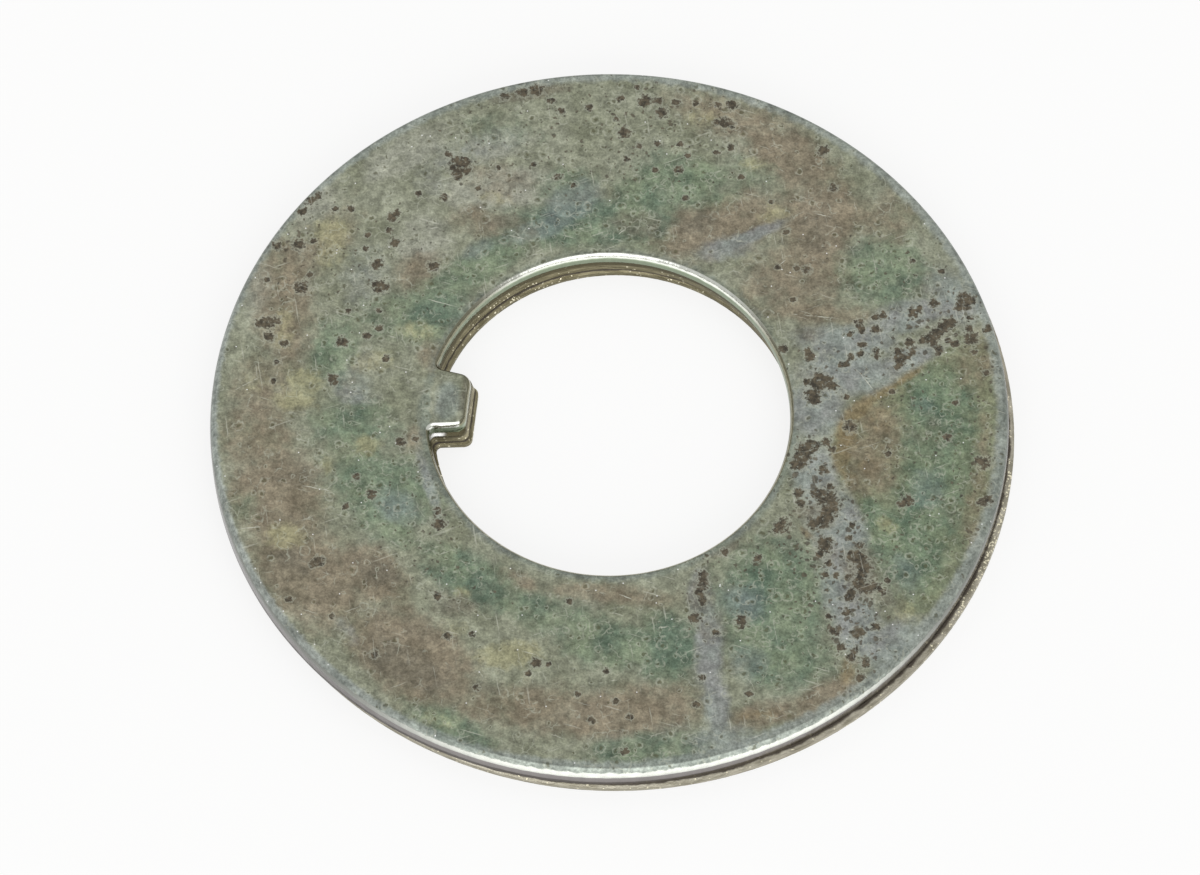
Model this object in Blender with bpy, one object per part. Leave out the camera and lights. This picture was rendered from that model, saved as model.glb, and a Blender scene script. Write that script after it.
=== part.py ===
# Tab lock washer, punched from flat steel plate and zinc plated.
#
# The washer lies flat: +Z is up, the origin is the centre of the bore in the plane of the
# lower face, and the tab that keys into the spindle's groove grows from the -X side of the bore.
# One stroke of a compound die cuts rim and bore from above, so every cut edge has the same
# zones, from the top down: a rolled shoulder, a burnished land, a crack line, and the torn
# break-out. The lower tool sat a little off centre, so the whole break-out is pushed one way.

import math

import bmesh
import bpy

MM = 0.001

# Plate and bore
OUTER_DIAMETER = 50.8 * MM
BORE_DIAMETER = 23.0 * MM
THICKNESS = 2.4 * MM

# Tab, measured on the burnished land
TAB_LENGTH = 2.5 * MM
TAB_TIP_WIDTH = 3.7 * MM
TAB_FLANK_ANGLE = math.radians(8.0)
TAB_CORNER_RADIUS = 0.80 * MM
TAB_ROOT_RADIUS = 0.35 * MM
TAB_LEAST_CORNER = 0.08 * MM
TAB_FLARE = 0.22 * MM

# Rolled shoulders of the rim and of the bore
RIM_ROLL_WIDTH = 0.42 * MM
RIM_ROLL_DEPTH = 0.90 * MM
BORE_ROLL_WIDTH = 0.40 * MM
BORE_ROLL_DEPTH = 0.40 * MM

# Burnished land of the bore, the rougher band below it, and the height in which the tab flares
BORE_LAND_HEIGHT = 0.68 * MM
BORE_BAND_INSET = 0.035 * MM
BORE_BAND_STEP = 0.05 * MM
TAB_FLARE_HEIGHT = 0.20 * MM

# Crack line and break-out
BREAK_OUT_HEIGHT = 0.60 * MM
BREAK_OUT_SHIFT = 0.45 * MM
BREAK_OUT_DIRECTION = math.radians(-17.0)
BREAK_OUT_SLOPE_HEIGHT = 0.16 * MM
BREAK_OUT_START_SHARE = 0.25
CRACK_DEPTH = 0.12 * MM
CRACK_HEIGHT = 0.08 * MM
FOOT_WIDTH = 0.08 * MM
FOOT_HEIGHT = 0.07 * MM

# How finely curves are divided
RIM_POINTS = 120
BORE_ARC_POINTS = 84
CORNER_POINTS = 6
ROLL_STEPS = 5

PLATE_COLOUR = (0.235, 0.250, 0.195, 1.0)
PLATE_ROUGHNESS = 0.42
SHARP_ANGLE = math.radians(32.0)
OBJECT_NAME = "tab_lock_washer"


def clear_scene():
    for old in list(bpy.data.objects):
        bpy.data.objects.remove(old, do_unlink=True)


def arc(centre, radius, start, end, count):
    """Points on a circular arc, both ends included."""
    points = []
    for step in range(count):
        angle = start + (end - start) * step / (count - 1)
        points.append((centre[0] + radius * math.cos(angle), centre[1] + radius * math.sin(angle)))
    return points


def rim_outline(inset, flare):
    """The outer circle, counter-clockwise, moved into the metal by the inset. It has no tab to flare."""
    radius = OUTER_DIAMETER / 2 - inset
    points = arc((0.0, 0.0), radius, 0.0, 2 * math.pi, RIM_POINTS + 1)
    return points[:-1]


def bore_outline(inset, flare):
    """The bore with its tab, clockwise. An inset widens the hole, and a flare widens only the tab."""
    sine = math.sin(TAB_FLANK_ANGLE)
    cosine = math.cos(TAB_FLANK_ANGLE)
    radius = BORE_DIAMETER / 2 + inset
    corner = max(TAB_CORNER_RADIUS - inset - flare, TAB_LEAST_CORNER)
    root = TAB_ROOT_RADIUS + inset
    tip_x = TAB_LENGTH - BORE_DIAMETER / 2 - inset

    # The upper flank leaves the sharp tip corner and widens towards the root
    half_tip = TAB_TIP_WIDTH / 2 + flare - inset / cosine + inset * sine / cosine
    outward = (-cosine, sine)
    normal = (sine, cosine)

    # Corner at the tip: tangent to the tip line and to the flank
    corner_run = corner * (1 - sine) / cosine
    corner_y = half_tip + outward[1] * corner_run - normal[1] * corner
    corner_arc = arc((tip_x - corner, corner_y), corner, 0.0, math.pi / 2 - TAB_FLANK_ANGLE, CORNER_POINTS)

    # Fillet at the root: tangent to the flank and, from inside, to the bore
    start_x = tip_x + normal[0] * root
    start_y = half_tip + normal[1] * root
    along = start_x * outward[0] + start_y * outward[1]
    beyond = (radius - root) ** 2 - start_x ** 2 - start_y ** 2
    run = math.sqrt(along ** 2 + beyond) - along
    root_x = start_x + outward[0] * run
    root_y = start_y + outward[1] * run
    touch = math.atan2(root_y, root_x)
    root_arc = arc((root_x, root_y), root, 1.5 * math.pi - TAB_FLANK_ANGLE, touch, CORNER_POINTS)

    upper = corner_arc + root_arc
    bore_arc = arc((0.0, 0.0), radius, touch, -touch, BORE_ARC_POINTS)
    lower = [(x, -y) for x, y in reversed(upper)]
    return [(tip_x, 0.0)] + upper + bore_arc[1:-1] + lower


# A section is a list of levels, from the lower face upwards. Each level has its height, its inset
# into the metal, its share of the break-out's sideways push and the tab's extra half width.
def break_out_section():
    slope_foot = BREAK_OUT_HEIGHT - CRACK_HEIGHT / 2 - BREAK_OUT_SLOPE_HEIGHT
    return [
        (0.0, FOOT_WIDTH, 1.0, TAB_FLARE),
        (FOOT_HEIGHT, 0.0, 1.0, TAB_FLARE),
        (slope_foot, 0.0, 1.0, TAB_FLARE),
        (BREAK_OUT_HEIGHT - CRACK_HEIGHT / 2, CRACK_DEPTH, BREAK_OUT_START_SHARE, TAB_FLARE),
        (BREAK_OUT_HEIGHT, CRACK_DEPTH, 0.0, TAB_FLARE),
        (BREAK_OUT_HEIGHT + CRACK_HEIGHT / 2, CRACK_DEPTH / 2, 0.0, TAB_FLARE),
    ]


def roll_section(width, depth):
    """The rolled shoulder, a quarter of an ellipse from the land up to the top face."""
    section = []
    for step in range(ROLL_STEPS + 1):
        turn = math.pi / 2 * step / ROLL_STEPS
        height = THICKNESS - depth * (1 - math.sin(turn))
        section.append((height, width * (1 - math.cos(turn)), 0.0, 0.0))
    return section


def rim_section():
    land_foot = BREAK_OUT_HEIGHT + CRACK_HEIGHT
    land = [(land_foot, 0.0, 0.0, 0.0)]
    return break_out_section() + land + roll_section(RIM_ROLL_WIDTH, RIM_ROLL_DEPTH)


def bore_section():
    band_foot = BREAK_OUT_HEIGHT + CRACK_HEIGHT
    land_foot = THICKNESS - BORE_ROLL_DEPTH - BORE_LAND_HEIGHT
    first_flare = TAB_FLARE * BORE_BAND_STEP / TAB_FLARE_HEIGHT
    band = [
        (band_foot, BORE_BAND_INSET, 0.0, TAB_FLARE),
        (land_foot - TAB_FLARE_HEIGHT, BORE_BAND_INSET, 0.0, TAB_FLARE),
        (land_foot - BORE_BAND_STEP, BORE_BAND_INSET, 0.0, first_flare),
        (land_foot, 0.0, 0.0, 0.0),
    ]
    return break_out_section() + band + roll_section(BORE_ROLL_WIDTH, BORE_ROLL_DEPTH)


def loft_wall(mesh, outline, section):
    """One wall of the washer: the outline repeated at every level of its section."""
    push_x = BREAK_OUT_SHIFT * math.cos(BREAK_OUT_DIRECTION)
    push_y = BREAK_OUT_SHIFT * math.sin(BREAK_OUT_DIRECTION)
    rings = []
    for height, inset, share, flare in section:
        points = outline(inset, flare)
        rings.append([mesh.verts.new((x + push_x * share, y + push_y * share, height)) for x, y in points])
    for below, above in zip(rings, rings[1:]):
        for index in range(len(below)):
            before = index - 1
            mesh.faces.new((below[before], below[index], above[index], above[before]))
    return rings[0], rings[-1]


def close_face(mesh, rim_ring, bore_ring, facing):
    """A flat face between the rim's ring and the bore's ring."""
    edges = []
    for ring in (rim_ring, bore_ring):
        edges += [mesh.edges.get((ring[index - 1], ring[index])) for index in range(len(ring))]
    filled = bmesh.ops.triangle_fill(mesh, use_beauty=True, edges=edges, normal=(0.0, 0.0, facing))
    for face in filled["geom"]:
        if isinstance(face, bmesh.types.BMFace):
            face.normal_update()
            if face.normal.z * facing < 0:
                face.normal_flip()


def plated_steel():
    material = bpy.data.materials.new("zinc_plated_steel")
    material.use_nodes = True
    shader = material.node_tree.nodes["Principled BSDF"]
    shader.inputs["Base Color"].default_value = PLATE_COLOUR
    shader.inputs["Roughness"].default_value = PLATE_ROUGHNESS
    shader.inputs["Metallic"].default_value = 1.0
    return material


def build_washer():
    collection = bpy.data.collections.new(OBJECT_NAME)
    bpy.context.scene.collection.children.link(collection)

    mesh = bmesh.new()
    rim_low, rim_high = loft_wall(mesh, rim_outline, rim_section())
    bore_low, bore_high = loft_wall(mesh, bore_outline, bore_section())
    close_face(mesh, rim_high, bore_high, 1.0)
    close_face(mesh, rim_low, bore_low, -1.0)

    data = bpy.data.meshes.new(OBJECT_NAME)
    mesh.to_mesh(data)
    mesh.free()
    data.shade_smooth()
    data.set_sharp_from_angle(angle=SHARP_ANGLE)
    data.materials.append(plated_steel())

    washer = bpy.data.objects.new(OBJECT_NAME, data)
    collection.objects.link(washer)
    return washer


clear_scene()
build_washer()
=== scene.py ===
import random
from functools import partial, reduce
from math import atan2, ceil, cos, hypot, pi, radians, sin, sqrt

import bpy
import numpy as np
from mathutils import Matrix, Vector
from mathutils.geometry import delaunay_2d_cdt


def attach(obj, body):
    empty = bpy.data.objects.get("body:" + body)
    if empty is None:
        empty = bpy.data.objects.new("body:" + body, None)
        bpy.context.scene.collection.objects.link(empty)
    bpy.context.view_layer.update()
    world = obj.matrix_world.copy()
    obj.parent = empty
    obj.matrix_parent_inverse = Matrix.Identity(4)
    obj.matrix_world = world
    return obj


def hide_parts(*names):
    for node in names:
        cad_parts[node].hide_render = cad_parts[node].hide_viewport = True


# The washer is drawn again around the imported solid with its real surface: torn break-out, wavy
# crack line, pitted and stained plate. Plan sizes and places are in millimetres.

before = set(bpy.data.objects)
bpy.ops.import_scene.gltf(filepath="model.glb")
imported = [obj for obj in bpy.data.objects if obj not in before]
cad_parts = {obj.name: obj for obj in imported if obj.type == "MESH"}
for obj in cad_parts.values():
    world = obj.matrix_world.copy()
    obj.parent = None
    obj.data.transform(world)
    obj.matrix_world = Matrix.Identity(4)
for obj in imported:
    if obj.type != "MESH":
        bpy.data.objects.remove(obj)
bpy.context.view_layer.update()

mm = 0.001

washer = {
    "outerDiameter": 50.8,
    "boreDiameter": 23.0,
    "thickness": 2.4,
    "tabLength": 2.5,
    "tabTipWidth": 3.7,
    "tabFlankAngle": 8.0,
    "tabCornerRadius": 0.80,
    "tabRootRadius": 0.35,
    "tabFlare": 0.22,
    "rimRoll": (0.42, 0.90),  # width and depth of the rolled shoulder
    "boreRoll": (0.40, 0.52),
    "landFoot": 1.50,  # the burnished land of the bore ends here, a rough band follows
    "bandInset": 0.035,
    "crackHeight": 0.60,
    "crackHalf": 0.04,
    "crackDepth": 0.12,
    "slopeFoot": 0.40,
    "slopeStartShare": 0.25,
    "footWidth": 0.08,
    "footHeight": 0.07,
    "crackPush": (0.08, 0.50),  # share of the push that is left at the crack: rim, bore
    "breakOutShift": 0.45,  # the break-out is pushed this far ...
    "breakOutDirection": -17.0,  # ... in this direction
    "rimPoints": 960,
    "tipPoints": 9,
    "boreArcPoints": 400,
    "flankPoints": 10,
    "cornerPoints": 10,
    "rollSteps": 10,
    "levelStep": 0.065,  # wall levels are at most this far apart
    "faceGrid": 0.29,  # spacing of the points on the upper face
    "undersideGrid": 0.9,
}

tornEdge = {
    "Torn Depth": 0.055 * mm,  # how deep the break-out is torn
    "Torn Grain": 0.22,  # size of its crumbs, in mm
    "Crack Wave": 0.05 * mm,  # rise and fall of the crack line
    "Pit Depth": 0.022 * mm,  # depth of the corrosion pits
    "Face Wave": 0.012 * mm,  # slight unevenness of the rolled plate
    "Seed": 4.0,
}

# Stains of the passivate, each patch: x, y, half length, half width, turn in degrees, strength
stains = {
    "green": [
        (3, 17.5, 3.4, 1.9, -10, .9), (.5, 15, 2.2, 2.8, 0, .8), (-3.5, 13.5, 4.5, 1.7, 8, 1),
        (-4.5, 16.4, 2.2, 1.4, 20, .7), (-9, 10.2, 3.2, 1.4, 42, .9), (-12, 6.4, 3, 1.9, 55, .9),
        (-14.5, 5.5, 2.6, 1.8, 0, .6), (-17.9, 2.6, 1.5, 2.4, 0, .9), (-16, -2.6, 2.8, 2, 0, .8),
        (-13.5, -7, 3.6, 2.5, -20, 1), (-13, -9.8, 2.2, 1.1, -20, .7), (-7.5, -12.6, 3.2, 1.7, -25, .9),
        (-2, -14.8, 4, 1.5, -10, .7), (2, -16.5, 3.4, 1.7, 0, .8), (5.4, -16.4, 2, 2.4, 0, 1),
        (11.5, -12.4, 3.5, 4.4, 0, 1), (13, -16.4, 2.8, 2.2, 20, .8), (21, -1.5, 2.3, 6.4, 0, 1),
        (19.3, -8, 2.6, 3, 30, 1), (20.4, 3.2, 2.2, 2, 0, .8), (16.5, 12, 3, 2.8, 0, .9),
        (7, 18.6, 2, 1.4, 0, .5), (-9, 19.8, 3.2, 1.4, 0, .5), (-7.5, -23.2, 3.2, 1.1, -18, .8),
        (5, -23.4, 4.2, 1.2, 12, .8), (-22.3, -9.3, 1.2, 1.2, 0, .5), (17.4, -5.4, 1.2, .7, -50, .9),
    ],
    "tan": [
        (6, 22.3, 5.5, 1.7, -15, .7), (9.6, 20, 3.2, 2, -30, .9), (5.6, 14.4, 4, 2.2, 25, 1),
        (2.4, 12.9, 2.6, .9, -5, .8), (12, 15.5, 2.4, 3, 0, 1), (11, 11, 4, 2.6, 20, .8),
        (12.8, 8.6, 3.6, .8, 0, .8), (16, 16, 2.4, 2.2, 0, .6), (-21.6, 6, 2, 5, 10, .8),
        (-22, -3, 2.4, 5, 0, .7), (-20, -8, 3, 3.4, 20, .9), (-17.6, -13.6, 4.2, 2.8, -45, 1),
        (-13.6, -13, 2.5, 1.7, -30, 1), (-10.5, -18.5, 4.4, 2.8, -30, 1), (0, -21.4, 7, 1.7, 0, .9),
        (5, -20.4, 3.4, 1.8, 10, .8), (2, -12.9, 4.4, .8, 0, .8), (-4.6, -12.6, 1.6, .8, -12, .8),
        (15.5, -18.6, 2.8, 1, 40, .9), (11.6, -20.3, 2.4, .9, 18, .8), (17, -.8, 2, 3.4, 0, .9),
        (-19.4, 10.6, 1.6, 3.4, -30, .6), (-13.4, 9, 1.5, 1.5, 0, .8), (-9.8, 13, 2.2, 1.2, -20, .7),
        (-9, 16.2, 3.2, 1.5, -10, .5), (23.7, -3, .8, 6, 0, .6), (22.8, 6, 1.4, 2.6, 0, .6),
        (-11.8, 2.8, .9, 1.2, 0, .7), (-12, -3.2, .9, 1.1, 0, .6),
    ],
    "pale": [
        (-9, 15.6, 4, 1.6, 12, .9), (-13.4, 11.2, 2.2, 1.8, 40, .8), (-15.2, 17.6, 3.8, 1.3, 42, .8),
        (-20.6, 13.2, 2.2, 1.4, 60, .8), (-16.4, 1.9, 1.6, .8, 10, .8), (-8.4, 19.2, 4, 1.2, 18, .6),
        (-23.4, 6.5, .9, 2.6, 0, .8), (4.5, -22.6, 5, .8, 12, .5), (17.6, -17.4, 1.2, 1, 0, .5),
        (-12, -17.6, 1.8, .8, -40, .5),
    ],
    "bluish": [
        (-4, 15.2, 2, 1.3, 40, 1), (-6, 12.8, 2.4, .8, 25, .9), (-12.6, -8.2, 1.6, 1.2, -30, .9),
        (-16.6, .4, 1.4, 1, 0, .7), (9.8, -12.6, 1.6, 1.4, -45, .8), (10.6, -16.8, 1.4, 1.4, 0, .7),
        (19.6, -9.6, 1.2, 2, 30, .6), (-9.6, 11, 1.6, .7, 40, .6), (-10.3, -.3, .8, 1.5, 0, 1),
        (20.6, -3.4, 1.2, 1.6, 20, .7), (19.6, 2.6, .9, .7, 0, .5),
    ],
    "yellow": [
        (-4.4, -17.8, 2, .9, 15, 1), (-19.3, -11, 1.2, .9, 0, 1), (-20, -1.3, 1.4, .7, 0, .9),
        (-22.6, -.2, 1, 1.2, 0, .4), (-19, 9.8, 1, 1.6, 0, .6), (-15.4, 2, 1.5, .8, 10, .7),
        (-15, -4, .8, .8, 0, .9), (-12.8, 4.6, 1.3, .7, 0, .7), (18.2, -6.2, .8, .5, -30, .8),
        (-21.3, 4, .7, 1.8, 0, .6), (-9, 14.9, 1.2, .6, -10, .5), (-19.6, .2, 1.3, .9, 0, .8),
        (-19.2, 11.4, 1.3, 1, 0, .8), (9, 15.6, 1.1, .7, 30, .7), (7.2, 19.2, .9, .5, 0, .7),
        (-7.8, -13.8, .6, .5, 0, .7), (-8, -16.3, 1, .6, 0, .5), (20, -12.3, .7, 1, 0, .6),
        (-8.2, -22.7, 1.2, .6, -18, .5), (-17.3, -5.6, .5, .8, 0, .6), (3.4, 22.4, 1.4, .7, 0, .5),
    ],
    "rust": [
        (18.7, 4.7, 1.3, .35, 42, .9), (17, 3.2, 1.3, .45, 38, .9), (15.7, 1.9, 1.1, .6, 50, 1),
        (15.1, .2, .7, 1.4, 0, 1), (14.9, -1.6, .6, 1.2, 5, 1), (15.7, -3.2, .5, 1.1, 32, .8),
        (17.2, 1.2, 1, 1.2, 0, .5), (16.8, -2.2, 1, .7, 0, .6), (16.8, -16.6, .5, 1.3, -10, .8),
        (13.3, -7.3, .7, .25, -40, .9), (11.4, -20.3, 1.5, .4, 12, .6), (9.9, -14, .5, .5, 0, .5),
    ],
    "worn": [
        (7.8, 13.9, 2.4, .45, 32, 1), (6, 12.7, 1.9, .9, 20, .8), (14.4, 6.8, 3.2, 1.1, 4, 1),
        (14.8, 4.4, 3, 1.5, 0, 1), (18.2, 9, 2.5, 1.2, 25, .9), (18.6, 5.9, 2, .9, 30, .9),
        (21, 10.6, 2.3, 1.4, -50, .9), (13, 1.6, 1.7, 2, 0, 1), (13.3, -3, 1.4, 2.4, 12, 1),
        (15.2, -6.6, 1.8, 2.6, 20, 1), (16, -10.5, 1.5, 3, 5, 1), (17, -13.5, 1.4, 2.2, 10, 1),
        (19.2, -14.4, 1.1, 2.2, -40, .9), (7, -12.3, .7, 1.8, 5, 1), (8, -16, .9, 3, 5, 1),
        (8.9, -20, .8, 2.2, 10, 1), (9.6, -22.2, 2.6, .9, 12, .7), (-11, 18.2, 3.6, 1.4, 25, .5),
        (-16.6, 8, 1.8, 2.8, 0, .5), (-16.2, -.5, 1.6, .8, 0, .6), (-10.8, -6.3, .4, 2.6, 22, .9),
        (-14.6, -17.2, 1.6, .5, -45, .5), (-13.4, 15.6, 1.6, 1.2, 0, .4),
    ],
    "shade": [  # darker, browner ground between the stains
        (-10.6, -19.4, 2.8, 1.4, -20, .9), (-13.4, -12.8, 1.6, 1, -20, .9), (-7.6, 23, 2.6, .5, 18, 1),
        (-8.3, 13.2, 1.5, .6, 10, .8), (-13.4, 8.4, 1.2, .9, 0, .6), (11.8, 14.8, 1.4, 1.8, 0, .7),
        (-18.5, -12.8, 1.4, .9, -40, .7), (4.4, 14.4, 2, .9, 20, .6), (8.3, -9, 1.2, .4, 35, .9),
        (-19.4, -6.6, 1.6, 1.2, 0, .6), (16, -3.2, .7, 1.2, 30, .6), (13.2, -5.8, .9, .6, 0, .8),
        (17.2, -2.2, 1, .6, 0, .6), (-5.6, -20.2, 1.4, .5, 0, .5), (7, -12.4, .7, 1.6, 5, .8),
        (12, 7.2, 1.1, 1.2, 0, .6), (-8.2, -14.6, 1.6, 1, -20, .6), (-9.6, -16.8, 1.8, .8, -20, .5),
        (16.9, -9.8, 1.1, 2, 10, .9), (14.4, -5.2, .9, 1.8, 10, .7), (19.2, 11.2, 1.6, 1.2, 0, .5),
        (14.6, -8.4, .9, 1, 0, .6), (20.2, 7.9, 1.9, .6, 35, .7), (13, 3.4, .9, 1.1, 0, .6),
        (12.4, -1.8, .7, 1, 0, .6), (.2, 13.9, 2.2, 1, 0, .8), (-7, 12.2, 1.6, .8, 20, .5),
        (20.4, .4, 2, 1.8, 0, .45), (7.2, -12.4, 1, 1.2, 0, .5), (-16.7, .2, 1, .9, 0, .5),
        (8.3, -14.6, 1.2, 1.2, 0, .6), (-9.2, .1, .45, 1.9, 0, .7), (16.9, -9.6, 1.6, 1.4, 0, .7),
        (22.6, -4.5, 1.4, 2.4, 0, .4), (-8, -14.6, 1.4, 1, 0, .5), (18.8, -11.4, 1.6, 1.2, -40, .6),
    ],
    "speckled": [  # where fine corrosion specks lie close
        (0, 21.5, 8, 3, 0, .55), (1.5, 18.4, 5, 2.4, 0, .4), (-8, 18, 6.5, 4, 0, .35),
        (-16, 9, 5, 5, 0, .35), (19.4, 7.6, 3.6, 2, 35, .9), (21.6, 10.4, 1.6, 1.4, 0, .8),
        (15, -9, 3.6, 4.6, 0, .75), (17, -14, 1.8, 3.6, 0, .95), (14, 5, 2.6, 2.4, 0, .45),
        (13.1, -3, 1.7, 3.6, 0, .85), (7.1, -13, .9, 3.4, 0, .6), (20.4, -2, 3.6, 7, 0, .4),
        (23.6, 0, .9, 9, 0, .6), (-11, -10, 3, 4, 0, .45), (-8, -13.6, 3, 2, 0, .4),
        (16.5, 12.5, 4, 3, 0, .35), (-21, 10, 1.6, 4, -20, .5), (10, -10, 2.2, 1.6, 0, .45),
    ],
}

# The olive ground right of the worn streaks has one crisp, rusty border
oliveGround = [
    (20.6, 6.4), (19.4, 5.3), (17.8, 3.9), (16.5, 2.9), (15.2, 1.6), (14.5, .2), (14.3, -1.2), (14.9, -2.6),
    (15.8, -3.9), (16.6, -5.3), (17.4, -6.8), (18.4, -8.6), (18.9, -10.6), (19.6, -12.4), (21.4, -12.2),
    (23.4, -8), (24.4, -3), (24.5, 3), (23.2, 8), (21.8, 8),
]

# Corrosion spots that stand out one by one: x, y, radius
spots = [
    (12.9, -1.2, .4), (12.5, -1.7, .42), (12.2, -2.4, .34), (13.9, -.6, .2), (14.3, -1.2, .16),
    (13.9, -2.7, .24), (14.5, -3.8, .16), (13.7, -4.4, .32), (14.3, -4.7, .42), (14.7, -5.1, .38),
    (14.5, -5.7, .42), (14.2, -6.4, .38), (13.6, -6.6, .28), (12.5, -4.5, .26), (12.7, -5.2, .22),
    (11.7, -6.9, .34), (11.4, -7.3, .2), (14.3, -7.8, .24), (14.7, -7.7, .24), (14.5, -8.3, .3),
    (14.2, -8.8, .16), (14.9, -9.3, .18), (16, -7.4, .15), (16.7, -7.8, .17), (16.3, -8.6, .3),
    (16.8, -8.8, .34), (17.1, -9.3, .34), (17, -9.9, .3), (16.9, -10.5, .34), (17.3, -10.8, .3),
    (17.9, -10.6, .24), (16.5, -11.2, .2), (16.3, -11.6, .22), (16.2, -10.1, .18), (15.4, -10.1, .17),
    (14.7, -10.1, .16), (18.6, -10.1, .15), (18.5, -11, .14), (16.3, -12.6, .2), (15.3, .6, .3),
    (17.9, -1.1, .16), (19.4, -4.3, .28), (19.1, -4.6, .22), (21.5, .5, .22), (24, -1.1, .3),
    (23.6, -.9, .16), (24.4, -3.8, .28), (24, -4, .2), (16.1, -6.4, .18), (15.2, -13, .16), (12.3, 5.4, .26),
    (12.1, 5.8, .18), (10.5, 5.8, .24), (13, 4, .26), (13, 3.5, .38), (13.6, 3.8, .26), (14, 3.4, .24),
    (12.7, 2.6, .36), (12.9, 2.2, .28), (12.2, 3.5, .16), (14.3, 5, .16), (14.7, 5.1, .16), (14.9, 5.7, .17),
    (15.5, 5.9, .17), (15.5, 6.6, .2), (15.2, 8.1, .25), (15.4, 7.6, .17), (14.7, 7.3, .16),
    (16.3, 7.8, .25), (16.2, 8.7, .2), (16.7, 8.9, .2), (16.4, 6.3, .16), (16.5, 5.8, .15), (14.9, 2.7, .15),
    (17.7, 3.4, .16), (18.6, 9.3, .3), (18.9, 9.7, .16), (18.5, 7.1, .24), (17.8, 6.4, .18), (18, 5.8, .3),
    (18.5, 6, .16), (17.9, 5.2, .16), (18.8, 6.4, .16), (19.3, 7.3, .18), (19.7, 7.5, .26), (20.1, 7.8, .3),
    (20.4, 8.2, .26), (20.7, 8.6, .3), (21.1, 8.8, .24), (20, 7.1, .16), (20.4, 6.7, .22), (20.9, 7.5, .16),
    (21.4, 7.3, .2), (22.4, 7.8, .34), (22.2, 8.5, .2), (23.4, 8.6, .24), (22.7, 6.8, .15),
    (21.7, 10.7, .34), (22.2, 10.6, .24), (21.5, 10, .26), (22, 10.1, .16), (22.2, 9.3, .16),
    (19.8, 10.1, .24), (20.1, 12.5, .16), (18.1, 13.1, .15), (11.5, 11.7, .2), (10.8, 11.8, .16),
    (10.8, 9.4, .15), (23.6, 5.4, .16), (21.8, 3, .15), (-.2, 23.2, .34), (.7, 23.3, .2), (1.8, 23.3, .2),
    (3.1, 23.4, .17), (4.5, 23.4, .16), (5.5, 23.5, .28), (1, 22.4, .28), (5.1, 22.1, .28), (4.6, 22.1, .16),
    (5.6, 22, .2), (-1.3, 20.7, .32), (-.2, 19.8, .16), (2.4, 20.2, .16), (.9, 20.1, .16), (5.7, 20.3, .2),
    (2.5, 18.3, .22), (1, 18.1, .16), (4.8, 19.8, .15), (6.6, 18.2, .16), (3, 19.4, .15), (11.7, 20.7, .28),
    (12.6, 18, .22), (3.2, 16.2, .16), (9.9, 14.4, .17), (9.6, 11.7, .15), (-1.8, 23.2, .2),
    (-1.9, 21.6, .15), (-.8, 24.2, .14), (-.9, 18.7, .16), (8.7, 16.5, .13), (-11.6, 17.2, .44),
    (-11.9, 16.9, .32), (-11.3, 17.4, .28), (-11.1, 16.8, .24), (-11.6, 16.3, .24), (-12.5, 17.9, .15),
    (-12.3, 14.6, .2), (-10.2, 15.5, .16), (-9.1, 17.2, .13), (-5.2, 16.9, .2), (-6.8, 17.7, .15),
    (-4.1, 16.4, .14), (-15.4, 12.8, .25), (-15.2, 13.2, .16), (-15.6, 11.8, .16), (-15.1, 10.9, .24),
    (-12.4, 9.4, .28), (-16, 9.2, .31), (-15.7, 7.6, .34), (-15.2, 7.6, .15), (-14, 14.7, .18),
    (-7.3, 23.3, .34), (-8.2, 23, .28), (-6.3, 22.6, .2), (-5.5, 21.9, .18), (-9.3, 22.6, .22),
    (-3.8, 22.3, .2), (-21.3, 12.6, .25), (-20.9, 13.4, .24), (-20.4, 13.9, .2), (-18.2, 13.1, .17),
    (-19.2, 13, .16), (-16.9, 11.3, .16), (-16.9, 10.3, .16), (-20.3, 10.5, .16), (-21.2, 10.1, .3),
    (-22.6, 9.9, .22), (-20.6, 7, .34), (-20.2, 8, .16), (-22.9, 7.3, .16), (-17.4, 5.6, .14),
    (-15.5, 5.8, .14), (-15.3, 4.5, .2), (-16, 3.9, .2), (-17.5, 3.3, .28), (-22.9, 4.1, .25),
    (-22.4, 4.2, .3), (-21.9, 4.4, .22), (-22.2, 3.2, .25), (-21.2, 2.8, .2), (-21.5, 1.4, .15),
    (-14.6, 2.4, .2), (-17.8, .6, .24), (-17.7, .3, .2), (-21.5, 0, .15), (-12.9, -3.5, .24),
    (-12, -3.2, .15), (-15.4, -6.3, .2), (-14.3, -7.5, .24), (-15.8, -8.5, .16), (-17, -12.5, .25),
    (-17.3, -12.8, .2), (-18.5, -15.4, .16), (-15.7, -16.3, .14), (-12.7, -18.7, .2), (-9.8, -9.1, .3),
    (-10, -8.1, .16), (-9.3, -14.2, .22), (-8.3, -16.9, .2), (-2.6, -18.2, .26), (-1.8, -18.2, .14),
    (-3, -19, .16), (.2, -20.1, .15), (1.3, -21.8, .18), (2.6, -20.3, .17), (1.8, -18.3, .16),
    (-6.1, -20.3, .16), (-6.8, -16.6, .16), (-1, -13.7, .16), (7.1, -10.9, .2), (7.2, -11.5, .25),
    (7, -12.2, .25), (7.3, -12.8, .2), (6.9, -14, .28), (8.3, -14.9, .18), (9.8, -13.9, .3),
    (9.9, -14.3, .16), (7.8, -18.1, .17), (7.6, -20, .18), (10.8, -18.9, .18), (3.5, -23.7, .22),
    (3.6, -21.3, .16), (11.5, -22.8, .16), (10.4, -9.4, .2), (8.3, -9.2, .2), (15.7, -14, .26),
    (17.1, -14, .3), (17.4, -13.9, .18), (16.2, -15.1, .2), (16.9, -15.7, .24), (17.1, -15.2, .17),
    (17.8, -16, .22), (17.6, -17.1, .22), (18.2, -13.4, .22),
]

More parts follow.
